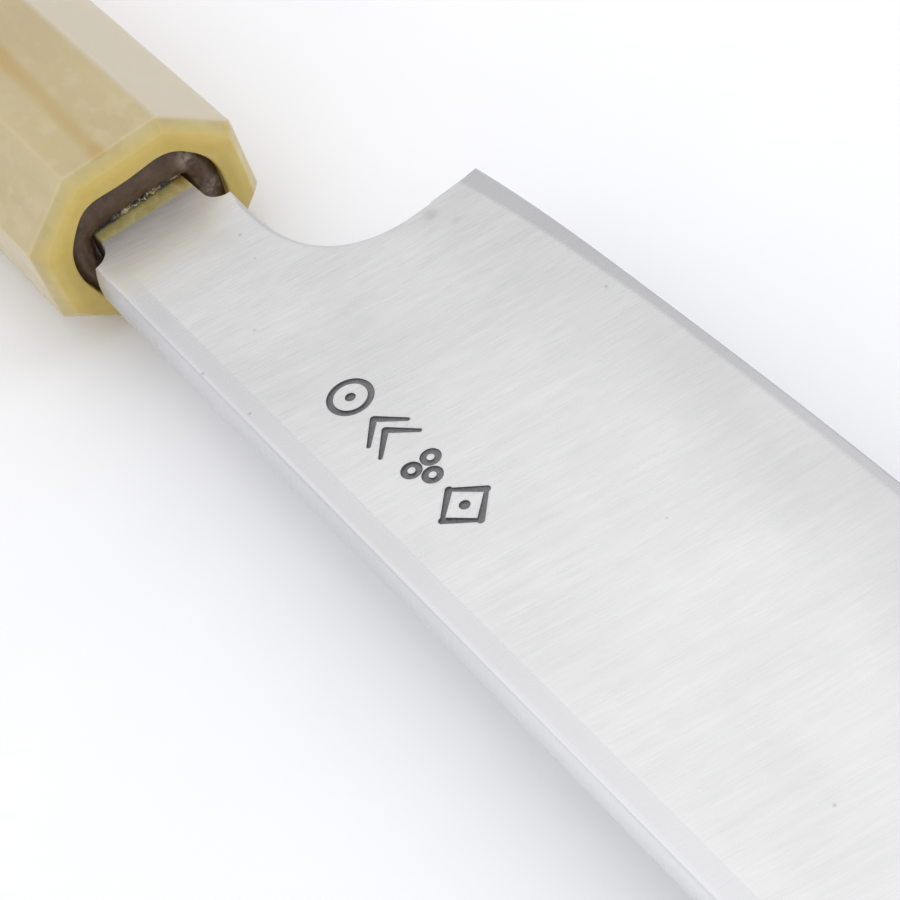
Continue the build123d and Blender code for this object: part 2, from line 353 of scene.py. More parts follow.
def blade_ring(spine, edge, edge_in):
    """One closed section of the blade between a spine point and an edge point, and its finishes.

    It goes up the spine, over the flat side, down the wall or the edge, and back below. Each
    point's finish says how far it lies on a flat rim, on a rim's seam and on a wall.
    """
    (xs, ys), (xb, yb) = spine, edge
    width = yb - ys
    chamfer = min(SPINE_CHAMFER, 0.2 * width) if xs >= NECK_START_SPINE else TANG_CHAMFER
    inner = np.array(edge_in, float)
    start = np.array([xs, ys + chamfer])
    ring, finish = [], []

    def put(points, rim=0.0, seam=0.0, wall=0.0):
        ring.extend(points)
        finish.extend([(rim, seam, wall)] * len(points))

    def across(values, surface):
        shares = [(y - start[1]) / (inner[1] - start[1]) for y in values]
        points = [start + (inner - start) * share for share in shares]
        return [(x, y, surface(x, y)) for x, y in points]

    # Up the spine, which leans in, and over its soft arris
    top_spine, bottom_spine = top_at(xs, ys), bottom_at(xs, ys)
    side = min(chamfer, 0.35 * (top_spine - bottom_spine))
    arris = 0.3 * side
    low, high = bottom_spine + side, top_spine - arris
    lean = chamfer - arris
    shares = np.linspace(0, 1, SPINE_WALL_POINTS)
    put([(xs, ys + lean * t**2.5, mix(low, high, t)) for t in shares], 1.0, 0.0, 0.75)
    for up, out in (quarter(a) for a in (25, 50, 75)):
        put([(xs, ys + lean + arris * out, high + arris * up)], 1.0, 0.0, 1.0)

    # Over the flat side: spine rim, seam, hollow, seam, edge rim
    rim_y = min(max(spine_at(xs) + SPINE_RIM, start[1] + 0.5), ys + 0.45 * width)
    line = min(0.22, 0.02 * width)
    spine_rim = smooth((xs - 3.0) / 11.0)
    limit = edge_at(max(xb, HEEL_X)) - rim_at(xb)
    high_y = max(min(limit, inner[1] - min(0.5, 0.12 * width)), rim_y + 0.15 * width)
    rimmed = 1.0 if limit <= high_y + 0.01 else 0.0
    put(across(np.linspace(start[1], rim_y - line, SPINE_RIM_POINTS), top_at), spine_rim)
    put(across([rim_y], top_at), 0.5 * spine_rim, spine_rim)
    put(across(np.linspace(rim_y + line, high_y - line, HOLLOW_POINTS), top_at))
    put(across([high_y], top_at), 0.5 * rimmed, rimmed)
    put(across(np.linspace(high_y + line, inner[1], EDGE_RIM_POINTS), top_at), rimmed)

    # Round the wall of tang, neck, choil and heel, or the thin edge in front of them
    top_edge, bottom_edge = top_at(xb, yb), bottom_at(xb, yb)
    drop = min(wall_round(xb), 0.45 * (top_edge - bottom_edge))
    wall = 1.0 - rimmed
    for out, down in (quarter(a) for a in (25, 50, 75, 90)):
        place = (mix(inner[0], xb, out), mix(inner[1], yb, out), top_edge - drop * down)
        put([place], rimmed, 0.0, wall)
    for out, up in (quarter(a) for a in (90, 60, 30)):
        place = (mix(inner[0], xb, out), mix(inner[1], yb, out), bottom_edge + drop * up)
        put([place], 1.0, 0.0, wall)

    # Back over the bevel and the hidden flat to the spine's lower chamfer
    ridge_y = edge_at(max(xb, HEEL_X)) - bevel_width(xb)
    ridge_y = min(ridge_y, inner[1] - min(1.0, 0.2 * width))
    ridge_y = max(ridge_y, ys + 0.35 * width)
    put(across(np.linspace(inner[1], ridge_y, BEVEL_POINTS + 1)[:-1], bottom_at), 0.4)
    put(across(np.linspace(ridge_y, start[1], BACK_POINTS), bottom_at))
    put([
        (xs, ys + chamfer * t**1.15, bottom_spine + side * (1 - t) ** 1.15)
        for t in (0.88, 0.7, 0.5, 0.3, 0.12)
    ], 1.0)
    return ring, finish


def build_blade():
    """Blade, neck and tang in one skin, with what its finish needs, and the ornaments cut in."""
    spine, edge = blade_rails()
    inset = [
        min(wall_round(x), 0.45 * (top_at(x, y) - bottom_at(x, y))) for x, y in edge
    ]
    edge_in = edge - inward_normals(edge) * np.array(inset)[:, None]
    rings, finishes = zip(*(blade_ring(*row) for row in zip(spine, edge, edge_in)))
    finish = np.array(finishes)
    fields = {name: finish[..., i] for i, name in enumerate(("rim", "seam", "wall"))}
    fields["reach"] = [edge_at(max(x, HEEL_X)) - y for ring in rings for x, y, z in ring]
    blade = ring_mesh("blade_steel", rings, sharp_degrees=ARRIS_SHARP, fields=fields)
    wear(blade, steel_material())
    engrave(blade, engraving_material())
    return blade


# ---------------------------------------------------------------- engraved ornaments


def slot_outline(start, end, width):
    """A stroke with round ends, slightly fuller where the chisel went in."""
    a, b = np.array(start, float), np.array(end, float)
    run = (b - a) / np.linalg.norm(b - a)
    side = np.array([-run[1], run[0]])
    outline = []
    for centre, size, first in ((a, STROKE_START * width, 90), (b, STROKE_END * width, -90)):
        for step in range(9):
            angle = math.radians(first + 22.5 * step)
            outline.append(centre + size * (math.cos(angle) * run + math.sin(angle) * side))
    return outline


def disc_outline(centre, radius, count=24):
    turns = [2 * math.pi * i / count for i in range(count)]
    return [(centre[0] + radius * math.cos(a), centre[1] + radius * math.sin(a)) for a in turns]


def prism(bm, outline, low, high, hole=None):
    """Adds one upright prism, with a hole through it where one is given."""
    loops = []
    for points in (outline, hole) if hole else (outline,):
        loops.append([[bm.verts.new((x, y, z)) for x, y in points] for z in (low, high)])
    for lower, upper in loops:
        for i in range(len(lower)):
            bm.faces.new((lower[i - 1], lower[i], upper[i], upper[i - 1]))
    for level in (0, 1):
        if hole:
            outer, inner = loops[0][level], loops[1][level]
            for i in range(len(outer)):
                bm.faces.new((outer[i - 1], outer[i], inner[i], inner[i - 1]))
        else:
            bm.faces.new(loops[0][level])


def ornament_outlines():
    """A ring, two chevrons, three small rings and a diamond, in two layers of separate outlines."""
    half, layers = MARK_SIZE / 2, ([], [])

    def circle(centre, share):
        outer, inner = share * half, share * half - MARK_STROKE
        layers[0].append((disc_outline(centre, outer, 40), disc_outline(centre, inner, 40)))

    def stroke(centre, start, end, layer):
        points = [(centre[0] + x * half, centre[1] + y * half) for x, y in (start, end)]
        layers[layer].append((slot_outline(*points, MARK_STROKE), None))

    ring, chevrons, trio, diamond = [(MARK_FIRST_X + i * MARK_PITCH, MARK_Y) for i in range(4)]
    circle(ring, RING_SHARE)
    for shift in (0.0, CHEVRON_STEP):
        point = (shift - CHEVRON_REACH, 0.0)
        for layer, side in enumerate((-CHEVRON_REACH, CHEVRON_REACH)):
            stroke(chevrons, point, (shift + CHEVRON_BACK, side), layer)
    for i in range(3):
        a = 2 * math.pi * i / 3
        away = (SMALL_RING_OFFSET * math.cos(a), SMALL_RING_OFFSET * math.sin(a))
        circle((trio[0] + away[0], trio[1] + away[1]), SMALL_RING_SHARE)
    corners = [(1, 0), (0, 1), (-1, 0), (0, -1)]
    for i in range(4):
        stroke(diamond, corners[i - 1], corners[i], i % 2)
    for centre in (ring, diamond):
        layers[0].append((disc_outline(centre, DOT_STROKES * MARK_STROKE), None))
    return layers


def engrave(blade, material):
    """Cuts the ornaments into the flat side, with this material on their walls and floors."""
    wear(blade, material)
    floor = top_at(MARK_FIRST_X + 1.5 * MARK_PITCH, MARK_Y) - MARK_DEPTH
    for layer in ornament_outlines():
        bm = bmesh.new()
        for outline, hole in layer:
            prism(bm, outline, floor, FACE_Z + 1.0, hole)
        bmesh.ops.recalc_face_normals(bm, faces=bm.faces)
        mesh = bpy.data.meshes.new("ornament_cutter")
        bm.to_mesh(mesh)
        bm.free()
        mesh.transform(PLACE)
        mesh.materials.append(None)
        mesh.materials.append(material)
        mesh.polygons.foreach_set("material_index", [1] * len(mesh.polygons))
        cutter = bpy.data.objects.new("ornament_cutter", mesh)
        bpy.context.scene.collection.objects.link(cutter)
        cut = blade.modifiers.new("ornaments", "BOOLEAN")
        cut.operation, cut.solver, cut.object = "DIFFERENCE", "MANIFOLD", cutter
        bpy.context.view_layer.objects.active = blade
        bpy.ops.object.modifier_apply(modifier=cut.name)
        bpy.data.objects.remove(cutter)
    blade.data.set_sharp_from_angle(angle=math.radians(ARRIS_SHARP))


# ---------------------------------------------------------------- handle


def growth(x):
    """Size of the handle's section, which grows evenly to the butt."""
    return 1 + (BUTT_GROWTH - 1) * (-FRONT_ROUND - x) / (HANDLE_LENGTH - FRONT_ROUND)


def octagon_points():
    """Points round the handle's octagon with softened ridges, at unit growth."""
    y, z = HANDLE_WIDTH / 2, HANDLE_THICKNESS / 2
    corners = [(y, NARROW_FACET / 2), (WIDE_FACET / 2, z)]
    corners += [(-a, b) for a, b in corners[::-1]]
    corners += [(-a, -b) for a, b in corners]
    corners = np.array(corners)
    points = []
    for i in range(8):
        before, here, after = corners[i - 1], corners[i], corners[(i + 1) % 8]
        back = (before - here) / np.linalg.norm(before - here)
        ahead = (after - here) / np.linalg.norm(after - here)
        start, end = here + back * RIDGE_ROUND, here + ahead * RIDGE_ROUND
        for t in np.linspace(0, 1, RIDGE_POINTS):
            points.append((1 - t) ** 2 * start + 2 * t * (1 - t) * here + t * t * end)
        following = after - ahead * RIDGE_ROUND
        for t in np.linspace(0, 1, FACET_POINTS + 2)[1:-1]:
            points.append(mix(end, following, t))
    return np.array(points)


OCTAGON = octagon_points()
ANGLES = np.arctan2(OCTAGON[:, 1] / HANDLE_THICKNESS, OCTAGON[:, 0] / HANDLE_WIDTH)


def mouth_outline(share):
    """The ferrule's hand-cut mouth, one point for each point of the octagon."""
    points = []
    for angle in ANGLES:
        c, s = math.cos(angle), math.sin(angle)
        size = (abs(c) ** MOUTH_POWER + abs(s) ** MOUTH_POWER) ** (-1 / MOUTH_POWER)
        y, z = MOUTH_WIDTH / 2 * size * c, MOUTH_HEIGHT / 2 * size * s
        turn = math.degrees(angle) % 360 if angle < -math.pi / 2 else math.degrees(angle)
        swell = MOUTH_SHARE + MOUTH_ROUGHNESS * noise.noise(Vector((y * 0.3, z * 0.3, 3.7)))
        swell += sum(height * bump(turn, at, spread) for height, at, spread in MOUTH_SWELLS)
        points.append((y * share * swell, z * share * swell))
    return np.array(points)


def tang_outline():
    """A rounded rectangle a little wider than the tang, one point for each of the octagon's."""
    middle = (TANG_LOW_Y + TANG_HIGH_Y) / 2
    half_y = (TANG_HIGH_Y - TANG_LOW_Y) / 2 + TANG_CLEARANCE
    half_z = FACE_Z + TANG_CLEARANCE
    points = []
    for angle in ANGLES:
        c, s = math.cos(angle), math.sin(angle)
        size = (abs(c) ** TANG_HOLE_POWER + abs(s) ** TANG_HOLE_POWER) ** (-1 / TANG_HOLE_POWER)
        points.append((middle + half_y * size * c, half_z * size * s))
    return np.array(points)


def section(x, points):
    return [(x, y, z) for y, z in points]


def seam_rings(side):
    """The fine groove between horn and wood, from its bottom out, towards the front (1) or -1."""
    size = OCTAGON * growth(-FERRULE_LENGTH)
    return [section(-FERRULE_LENGTH + side * away, size * share) for away, share in SEAM_GROOVE]


def front_profile(t):
    """How far the front face of the ferrule falls back, from its mouth (0) to its facets (1)."""
    flat_end, rounded_end = 0.28, 0.66
    if t < rounded_end:
        return FRONT_DOME * max(0.0, (t - flat_end) / (rounded_end - flat_end)) ** 2
    fall = ((t - rounded_end) / (1 - rounded_end)) ** 1.12
    return FRONT_DOME + (FRONT_ROUND - FRONT_DOME) * fall


def build_ferrule():
    """The horn ring: bore, mouth, softly domed front, facets, back face."""
    mouth = mouth_outline(1.0)
    front = OCTAGON * growth(-FRONT_ROUND)
    bore = [*np.linspace(-FERRULE_LENGTH, -RESIN_DEPTH, 6), -3.5, -2.4, -1.6, -1.0, -0.6, -0.3]
    rings = [section(x, mouth) for x in bore]
    for up, out in (quarter(a) for a in (0, 30, 60)):
        rings.append(section(-MOUTH_LIP + MOUTH_LIP * up, mix(mouth, front, LIP_SHARE * out)))
    for t in [*np.linspace(LIP_SHARE, 0.975, 34), 0.992]:
        rings.append(section(-front_profile(t), mix(mouth, front, t)))
    facets = (-2.08, -2.3, -2.8, -4.0, -7.0, -11.0, -16.0, -22.0, -29.0)
    for x in (*facets, -FERRULE_LENGTH + SEAM_WIDTH):
        rings.append(section(x, OCTAGON * growth(x)))
    rings = np.array(rings + seam_rings(1)[::-1])
    outside = np.linalg.norm(front, axis=1)
    inner = np.linalg.norm(mouth, axis=1)
    inset = (outside - np.linalg.norm(rings[..., 1:], axis=2)) / (outside - inner)
    return ring_mesh(
        "ferrule_horn", rings, closed=True, sharp_degrees=50.0,
        fields={"inset": np.clip(FRONT_WIDTH * inset, 0.0, None)},
    )


def build_handle():
    """Octagonal wood with a softened butt and the tenon inside the ferrule."""
    tenon = mouth_outline(TENON_SHARE)
    butt_x = -HANDLE_LENGTH + BUTT_ROUND
    rings = [section(x, tenon) for x in np.linspace(-RESIN_DEPTH, -FERRULE_LENGTH, 5)]
    rings += seam_rings(-1)
    for x in np.linspace(-FERRULE_LENGTH - SEAM_WIDTH, butt_x, 22):
        rings.append(section(x, OCTAGON * growth(x)))
    butt = OCTAGON * growth(butt_x)
    for along, inward in (quarter(90 * t) for t in steps(7)):
        shrink = 1 - BUTT_ROUND / (HANDLE_THICKNESS / 2) * inward
        rings.append(section(-HANDLE_LENGTH + BUTT_ROUND * (1 - along), butt * shrink))
    for share in (0.7, 0.45, 0.2, 0.02):
        rings.append(section(-HANDLE_LENGTH, butt * shrink * share))
    return ring_mesh("handle_wood", rings, sharp_degrees=50.0)


def build_resin():
    """Poured resin in the mouth, full against the horn, sunk and broken along the tang."""
    outer, inner = mouth_outline(RESIN_SHARE), tang_outline()
    rings = [section(-RESIN_DEPTH, outer), section(-RESIN_DEPTH, mix(outer, inner, 0.5))]
    rings += [section(x, inner) for x in (-RESIN_DEPTH, -4.0, -3.4)]
    for t in np.linspace(0, 1, RESIN_STEPS):
        ring = []
        for (yi, zi), (yo, zo) in zip(inner, outer):
            y, z = mix(yi, yo, t), mix(zi, zo, t)
            beside = smooth((TANG_LOW_Y + 0.6 - yi) / 0.5)
            gap = mix(RESIN_SLOT_TOP, RESIN_SLOT_SIDE, beside) * (1 - smooth(t / 0.26))
            lump = noise.fractal(Vector((y * 0.5, z * 0.5, 1.0)), 1.0, 2.0, 4)
            crust = noise.noise(Vector((y * 1.9, z * 1.9, 5.0)))
            dome = 0.5 * math.sin(math.pi * min(1.0, max(0.0, (t - 0.16) / 0.84)))
            x = -RESIN_RECESS - 0.3 + dome - gap + 0.14 * lump + 0.35 * crust * (1 - t) ** 2
            ring.append((x, y, z))
        rings.append(ring)
    rings += [section(x, outer) for x in (-2.2, -3.4)]
    return ring_mesh("mouth_resin_fill", rings, closed=True, sharp_degrees=60.0)


def build_beads():
    """The crumbly line of dried glue between the tang's flat side and the resin."""
    rings = []
    for i, y in enumerate(np.linspace(TANG_LOW_Y + 0.3, TANG_HIGH_Y + 0.2, BEAD_RINGS)):
        swell = 0.5 + 0.5 * noise.noise(Vector((y * 2.1, 0.0, 9.0)))
        lift = 0.5 + 0.15 * noise.noise(Vector((y * 0.9, 4.0, 2.0)))
        end = smooth(min(i, BEAD_RINGS - 1 - i) / 6)
        ring = []
        for a in np.linspace(0, 2 * math.pi, BEAD_SIDES + 1)[:-1]:
            c, s = math.cos(a), math.sin(a)
            rough = noise.noise(Vector((y * 4.0, c * 1.3, s * 1.3)))
            crust = noise.noise(Vector((y * 9.0, c * 2.6, s * 2.6)))
            radius = (0.1 + 0.42 * swell + 0.22 * rough + 0.1 * crust) * (0.05 + 0.95 * end)
            ring.append((-1.75 + 0.2 * swell + radius * c, y, FACE_Z + lift + 0.9 * radius * s))
        rings.append(ring)
    return ring_mesh("glue_line", rings, sharp_degrees=60.0)


# ---------------------------------------------------------------- node tools


class Tree:
    """A small helper round one node tree. Colours are given as three linear numbers."""

    def __init__(self, owner):
        owner.use_nodes = True
        self.nodes, self.links = owner.node_tree.nodes, owner.node_tree.links

    def add(self, kind, inputs=None, **settings):
        node = self.nodes.new("ShaderNode" + kind)
        for name, value in settings.items():
            setattr(node, name, value)
        for key, value in (inputs or {}).items():
            socket = node.inputs[key]
            if isinstance(value, bpy.types.NodeSocket):
                self.links.new(value, socket)
            elif socket.type == "RGBA":
                socket.default_value = (*value, 1.0)
            else:
                socket.default_value = value
        return node

    def math(self, operation, a, b=0.0, clamp=False):
        node = self.add("Math", {0: a, 1: b}, operation=operation, use_clamp=clamp)
        return node.outputs[0]

    def plus(self, a, b):
        return self.math("ADD", a, b)

    def minus(self, a, b):
        return self.math("SUBTRACT", a, b)

    def times(self, a, b):
        return self.math("MULTIPLY", a, b)

    def range(self, value, low, high, to_low=0.0, to_high=1.0):
        """A smooth step from to_low, where the value is low, to to_high, where it is high."""
        node = self.add("MapRange", {
            "Value": value, "From Min": low, "From Max": high, "To Min": to_low, "To Max": to_high
        }, interpolation_type="SMOOTHSTEP")
        return node.outputs["Result"]

    def ramp(self, factor, *stops):
        node = self.add("ValToRGB", {"Fac": factor})
        elements = node.color_ramp.elements
        while len(elements) < len(stops):
            elements.new(0.5)
        for element, (position, colour) in zip(elements, stops):
            element.position = position
            element.color = (*colour, 1.0)
        return node.outputs["Color"]

    def blend(self, factor, a, b):
        return self.add("MixRGB", {"Fac": factor, "Color1": a, "Color2": b}).outputs[0]

    def axes(self, vector):
        return self.add("SeparateXYZ", {"Vector": vector}).outputs


class Shader(Tree):
    """A new material, its node tree and its shader."""

    def __init__(self, name, **values):
        self.material = bpy.data.materials.new(name)
        super().__init__(self.material)
        self.bsdf = self.nodes["Principled BSDF"]
        for name, value in values.items():
            self.bsdf.inputs[name.replace("_", " ")].default_value = value

    def link(self, name, socket):
        self.links.new(socket, self.bsdf.inputs[name])

    def knife_space(self):
        """Position in the knife's own frame, in mm."""
        return self.add("Mapping", {
            "Vector": self.add("TexCoord").outputs["Object"],
            "Location": tuple(PLACE.translation),
            "Rotation": tuple(PLACE.to_euler()),
            "Scale": tuple(PLACE.to_scale()),
        }, vector_type="TEXTURE").outputs[0]

    def stretch(self, vector, sizes, turn=0.0):
        """Texture space whose features are this many mm long along x, y and z, turned about z."""
        inputs = {"Vector": vector, "Scale": sizes, "Rotation": (0, 0, turn)}
        return self.add("Mapping", inputs, vector_type="TEXTURE").outputs[0]

    def noise(self, vector, scale=1.0, detail=3.0, roughness=0.5):
        inputs = {"Vector": vector, "Scale": scale, "Detail": detail, "Roughness": roughness}
        return self.add("TexNoise", inputs).outputs["Fac"]

    def near(self, vector, point, inner, outer):
        """1 within inner mm of a point, 0 beyond outer mm."""
        distance = self.add("VectorMath", {0: vector, 1: point}, operation="DISTANCE")
        return self.range(distance.outputs["Value"], inner, outer, 1.0, 0.0)

    def attribute(self, name):
        return self.add("Attribute", attribute_name=name).outputs["Fac"]

    def bump(self, height, strength, distance):
        """Gives the surface relief: its strength, and its depth in metres."""
        inputs = {"Height": height, "Strength": strength, "Distance": distance}
        self.link("Normal", self.add("Bump", inputs).outputs["Normal"])


# ---------------------------------------------------------------- materials


def steel_material():
    """Brushed on the hollow, stoned on the rims, scaly on the tang."""
    s = Shader("brushed_steel", Metallic=1.0, Roughness=0.3)
    place = s.knife_space()
    x, y, _ = s.axes(place)
    rim, seam, wall, reach = (s.attribute(name) for name in ("rim", "seam", "wall", "reach"))
    lean = math.radians(-10.0)
    fine = s.noise(s.stretch(place, (0.16, 3.2, 3.0), lean), 1.0, 3.0, 0.6)
    scratch = s.noise(s.stretch(place, (0.12, 5.0, 3.0), lean * 1.6), 1.0, 2.0, 0.5)
    wide = s.noise(s.stretch(place, (1.3, 16.0, 9.0), lean), 1.0, 3.0)
    cloud = s.noise(s.stretch(place, (14.0, 9.0, 9.0)), 1.0, 4.0)

    # The hollow: brushing, cloudiness, painted shade towards the edge and a painted light gradient
    # along it
    tone = s.range(fine, 0.25, 0.75, 0.785, 0.835)
    tone = s.plus(tone, s.range(wide, 0.3, 0.7, -0.012, 0.012))
    tone = s.plus(tone, s.range(cloud, 0.3, 0.7, -0.022, 0.022))
    # Painted shade: the hollow darker towards the cutting edge, more so towards the tip, standing
    # in for darker reflection
    painted_edge_shade = s.times(s.range(reach, 14.0, 1.5), s.range(x, 20.0, 90.0, 0.045, 0.135))
    tone = s.minus(tone, painted_edge_shade)
    bright = s.times(s.range(scratch, 0.62, 0.74), s.range(x, 60.0, 6.0, 0.02, 0.085))
    tone = s.plus(tone, bright)
    # Painted light: darker by the neck, lighter from mid-blade, fading again towards the tip,
    # standing in for reflected room light
    tone = s.plus(tone, s.range(x, 20.0, 60.0, -0.022, 0.028))
    tone = s.minus(tone, s.range(x, 65.0, 100.0, 0.0, 0.035))
    hollow = s.add("CombineColor", {"Red": tone, "Green": tone, "Blue": tone}).outputs[0]

    # The rims, their seams, and painted reflection and shade on the walls
    stoned = s.ramp(cloud, (0.3, (0.69, 0.69, 0.703)), (0.7, (0.72, 0.72, 0.733)))
    stoned_edge = s.ramp(cloud, (0.3, (0.66, 0.66, 0.675)), (0.7, (0.69, 0.69, 0.705)))
    stoned = s.blend(s.range(y, 2.0, 8.0), stoned, stoned_edge)
    colour = s.blend(rim, hollow, stoned)
    colour = s.blend(s.times(seam, 0.4), colour, (0.70, 0.695, 0.70))
    # Painted reflection: the spine wall paler towards the tip, where it mirrors the bright table
    painted_wall_reflection = s.times(wall, s.range(x, 45.0, 90.0, 0.0, 0.75))
    colour = s.blend(painted_wall_reflection, colour, (0.85, 0.85, 0.86))
    # Painted shade: the spine wall darker towards the neck, with a dark line painted along its
    # arris
    painted_wall_shade = s.times(wall, s.range(x, 40.0, 80.0, 0.45, 0.0))
    painted_wall_shade = s.math("ADD", painted_wall_shade, s.range(wall, 0.8, 1.0, 0.0, 0.5), clamp=True)
    colour = s.blend(painted_wall_shade, colour, (0.56, 0.56, 0.59))
    # Painted shade: the walls darkest by the neck, next to the ferrule
    painted_neck_wall_shade = s.times(wall, s.range(x, 26.0, 4.0, 0.0, 0.55))
    colour = s.blend(painted_neck_wall_shade, colour, (0.42, 0.42, 0.44))

    # Stains by the heel, specks, and the duller stretch by the mouth
    for centre, size, strength in HEEL_STAINS:
        patch = s.times(s.near(place, centre, 0.1, size), s.range(fine, 0.2, 0.6))
        colour = s.blend(s.times(patch, strength), colour, (0.42, 0.37, 0.29))
    for centre, size in SPECKS:
        speck = s.times(s.near(place, centre, 0.02, size * 1.5), 0.5)
        colour = s.blend(speck, colour, (0.36, 0.35, 0.35))
    mouth_side = s.times(s.range(x, 8.5, 1.0), s.range(scratch, 0.35, 0.7, 0.1, 0.45))
    colour = s.blend(mouth_side, colour, (0.58, 0.53, 0.53))

    # The tang: an olive film with a rusty corner, and nearly black along its low side
    front = s.minus(x, s.times(y, 0.045))
    film = s.noise(s.stretch(place, (1.2, 1.2, 1.2)), 1.0, 4.0, 0.6)
    olive = s.ramp(film, (0.3, (0.40, 0.33, 0.10)), (0.7, (0.62, 0.55, 0.26)))
    rust = s.near(place, RUST_SPOT, 0.2, 1.0)
    olive = s.blend(s.times(rust, 0.8), olive, (0.45, 0.20, 0.05))
    olive = s.blend(s.range(y, -5.1, -5.6), olive, (0.035, 0.028, 0.022))
    s.link("Base Color", s.blend(s.range(front, 0.5, 0.3), colour, olive))

    bare = s.range(front, 0.5, 0.3, 1.0, 0.15)
    s.link("Metallic", s.times(bare, s.range(x, 1.0, 9.0, 0.72, 1.0)))
    rough = s.plus(s.range(fine, 0.2, 0.8, 0.26, 0.34), s.times(s.range(x, 11.0, 1.0), 0.2))
    s.link("Roughness", s.blend(s.times(rim, 0.6), rough, (0.24, 0.24, 0.24)))
    s.bump(s.times(fine, s.minus(1.0, rim)), 0.2, 0.00002)
    return s.material


def engraving_material():
    """The bruised floor of a chiselled stroke."""
    s = Shader("engraved_steel", Metallic=0.6, Roughness=0.55)
    grit = s.noise(s.stretch(s.knife_space(), (0.3, 0.3, 0.3)), 1.0, 4.0, 0.7)
    s.link("Base Color", s.ramp(grit, (0.3, (0.15, 0.15, 0.155)), (0.7, (0.24, 0.24, 0.245))))
    s.bump(grit, 0.5, 0.0001)
    return s.material


def horn_material():
    """Translucent buffalo horn: cloudy straw on the facets, amber round the mouth, one vein."""
    s = Shader(
        "pale_horn", Roughness=0.22, IOR=1.54, Subsurface_Weight=0.35,
        Subsurface_Radius=(1.0, 0.75, 0.35), Subsurface_Scale=0.002,
    )
    place = s.knife_space()
    x, y, z = s.axes(place)
    flow = s.noise(s.stretch(place, (30.0, 5.0, 5.0)), 1.0, 4.0)
    blotch = s.noise(s.stretch(place, (3.4, 2.2, 2.2)), 1.0, 3.0, 0.6)

    # The facets, darker towards the back, and a painted sheen that makes the facet on the edge side
    # paler
    base = s.ramp(flow, (0.3, (0.45, 0.345, 0.165)), (0.7, (0.525, 0.43, 0.225)))
    base = s.blend(s.range(blotch, 0.45, 0.65, 0.0, 0.5), base, (0.56, 0.48, 0.275))
    base = s.blend(s.range(x, -8.0, -30.0, 0.0, 0.6), base, (0.43, 0.325, 0.17))
    # Painted sheen: the facet facing the lamp and camera is made paler
    across = s.plus(s.times(y, 0.632), s.times(z, 0.775))
    painted_facet_sheen = s.range(s.plus(across, s.times(x, 0.00835)), 10.5, 10.85)
    base = s.blend(s.times(painted_facet_sheen, 0.8), base, (0.495, 0.435, 0.335))

    # The vein on the top facet, strongest at the back and at the front
    wander = s.times(s.noise(s.stretch(place, (9.0, 60.0, 60.0))), 0.7)
    slant = s.plus(s.times(x, 0.027), wander)
    off = s.math("ABSOLUTE", s.plus(s.plus(y, slant), 1.0))
    vein = s.times(s.range(off, 1.5, 0.0), s.range(z, 7.5, 9.0))
    ends = s.plus(s.range(x, -17.0, -26.0, 0.0, 0.55), s.range(x, -4.5, -2.5, 0.0, 0.45))
    vein = s.times(vein, s.plus(s.range(flow, 0.25, 0.6, 0.55, 0.8), ends))
    base = s.blend(s.math("MINIMUM", vein, 1.0), base, (0.44, 0.28, 0.07))

    # The front: straw, then amber, inside a painted highlight as a thin pale line, and painted
    # shade low down
    inset = s.attribute("inset")
    straw = s.ramp(blotch, (0.35, (0.46, 0.375, 0.15)), (0.65, (0.51, 0.425, 0.19)))
    amber = s.ramp(blotch, (0.3, (0.55, 0.41, 0.10)), (0.7, (0.59, 0.455, 0.13)))
    base = s.blend(s.range(inset, 0.0, 0.35), base, straw)
    base = s.blend(s.range(inset, 0.2, 1.45), base, amber)
    # Painted highlight: a thin pale line along the front's outer ridge
    off_highlight_line = s.math("ABSOLUTE", s.minus(inset, 0.04))
    base = s.blend(s.range(off_highlight_line, 0.12, 0.0, 0.0, 0.3), base, (0.64, 0.57, 0.39))
    # Painted shade: the horn darker low down, towards the table
    base = s.blend(s.range(z, -1.0, -8.0, 0.0, 0.5), base, (0.36, 0.275, 0.10))
    s.link("Base Color", base)
    s.bump(s.noise(s.stretch(place, (8.0, 0.7, 0.7)), 1.0, 3.0), 0.08, 0.00004)
    return s.material


def wood_material():
    """Plain magnolia: long grain, short dark pores and faint growth rings."""
    s = Shader("magnolia_wood", Roughness=0.55)
    place = s.knife_space()
    grain = s.noise(s.stretch(place, (25.0, 0.9, 0.9)), 1.0, 5.0, 0.6)
    pores = s.noise(s.stretch(place, (2.8, 0.14, 0.14)), 1.0, 3.0, 0.7)
    rings = s.add("TexWave", {
        "Vector": s.stretch(place, (90.0, 7.0, 7.0)), "Scale": 1.0, "Distortion": 3.5,
        "Detail": 3.0, "Detail Scale": 1.2,
    }, bands_direction="Y").outputs["Fac"]
    base = s.ramp(grain, (0.3, (0.47, 0.34, 0.20)), (0.7, (0.64, 0.50, 0.33)))
    base = s.blend(s.range(rings, 0.3, 0.9, 0.0, 0.25), base, (0.42, 0.29, 0.16))
    base = s.blend(s.range(pores, 0.56, 0.74, 0.0, 0.45), base, (0.29, 0.18, 0.10))
    s.link("Base Color", base)
    s.link("Roughness", s.range(pores, 0.3, 0.7, 0.5, 0.62))
    s.bump(pores, 0.3, 0.0001)
    return s.material


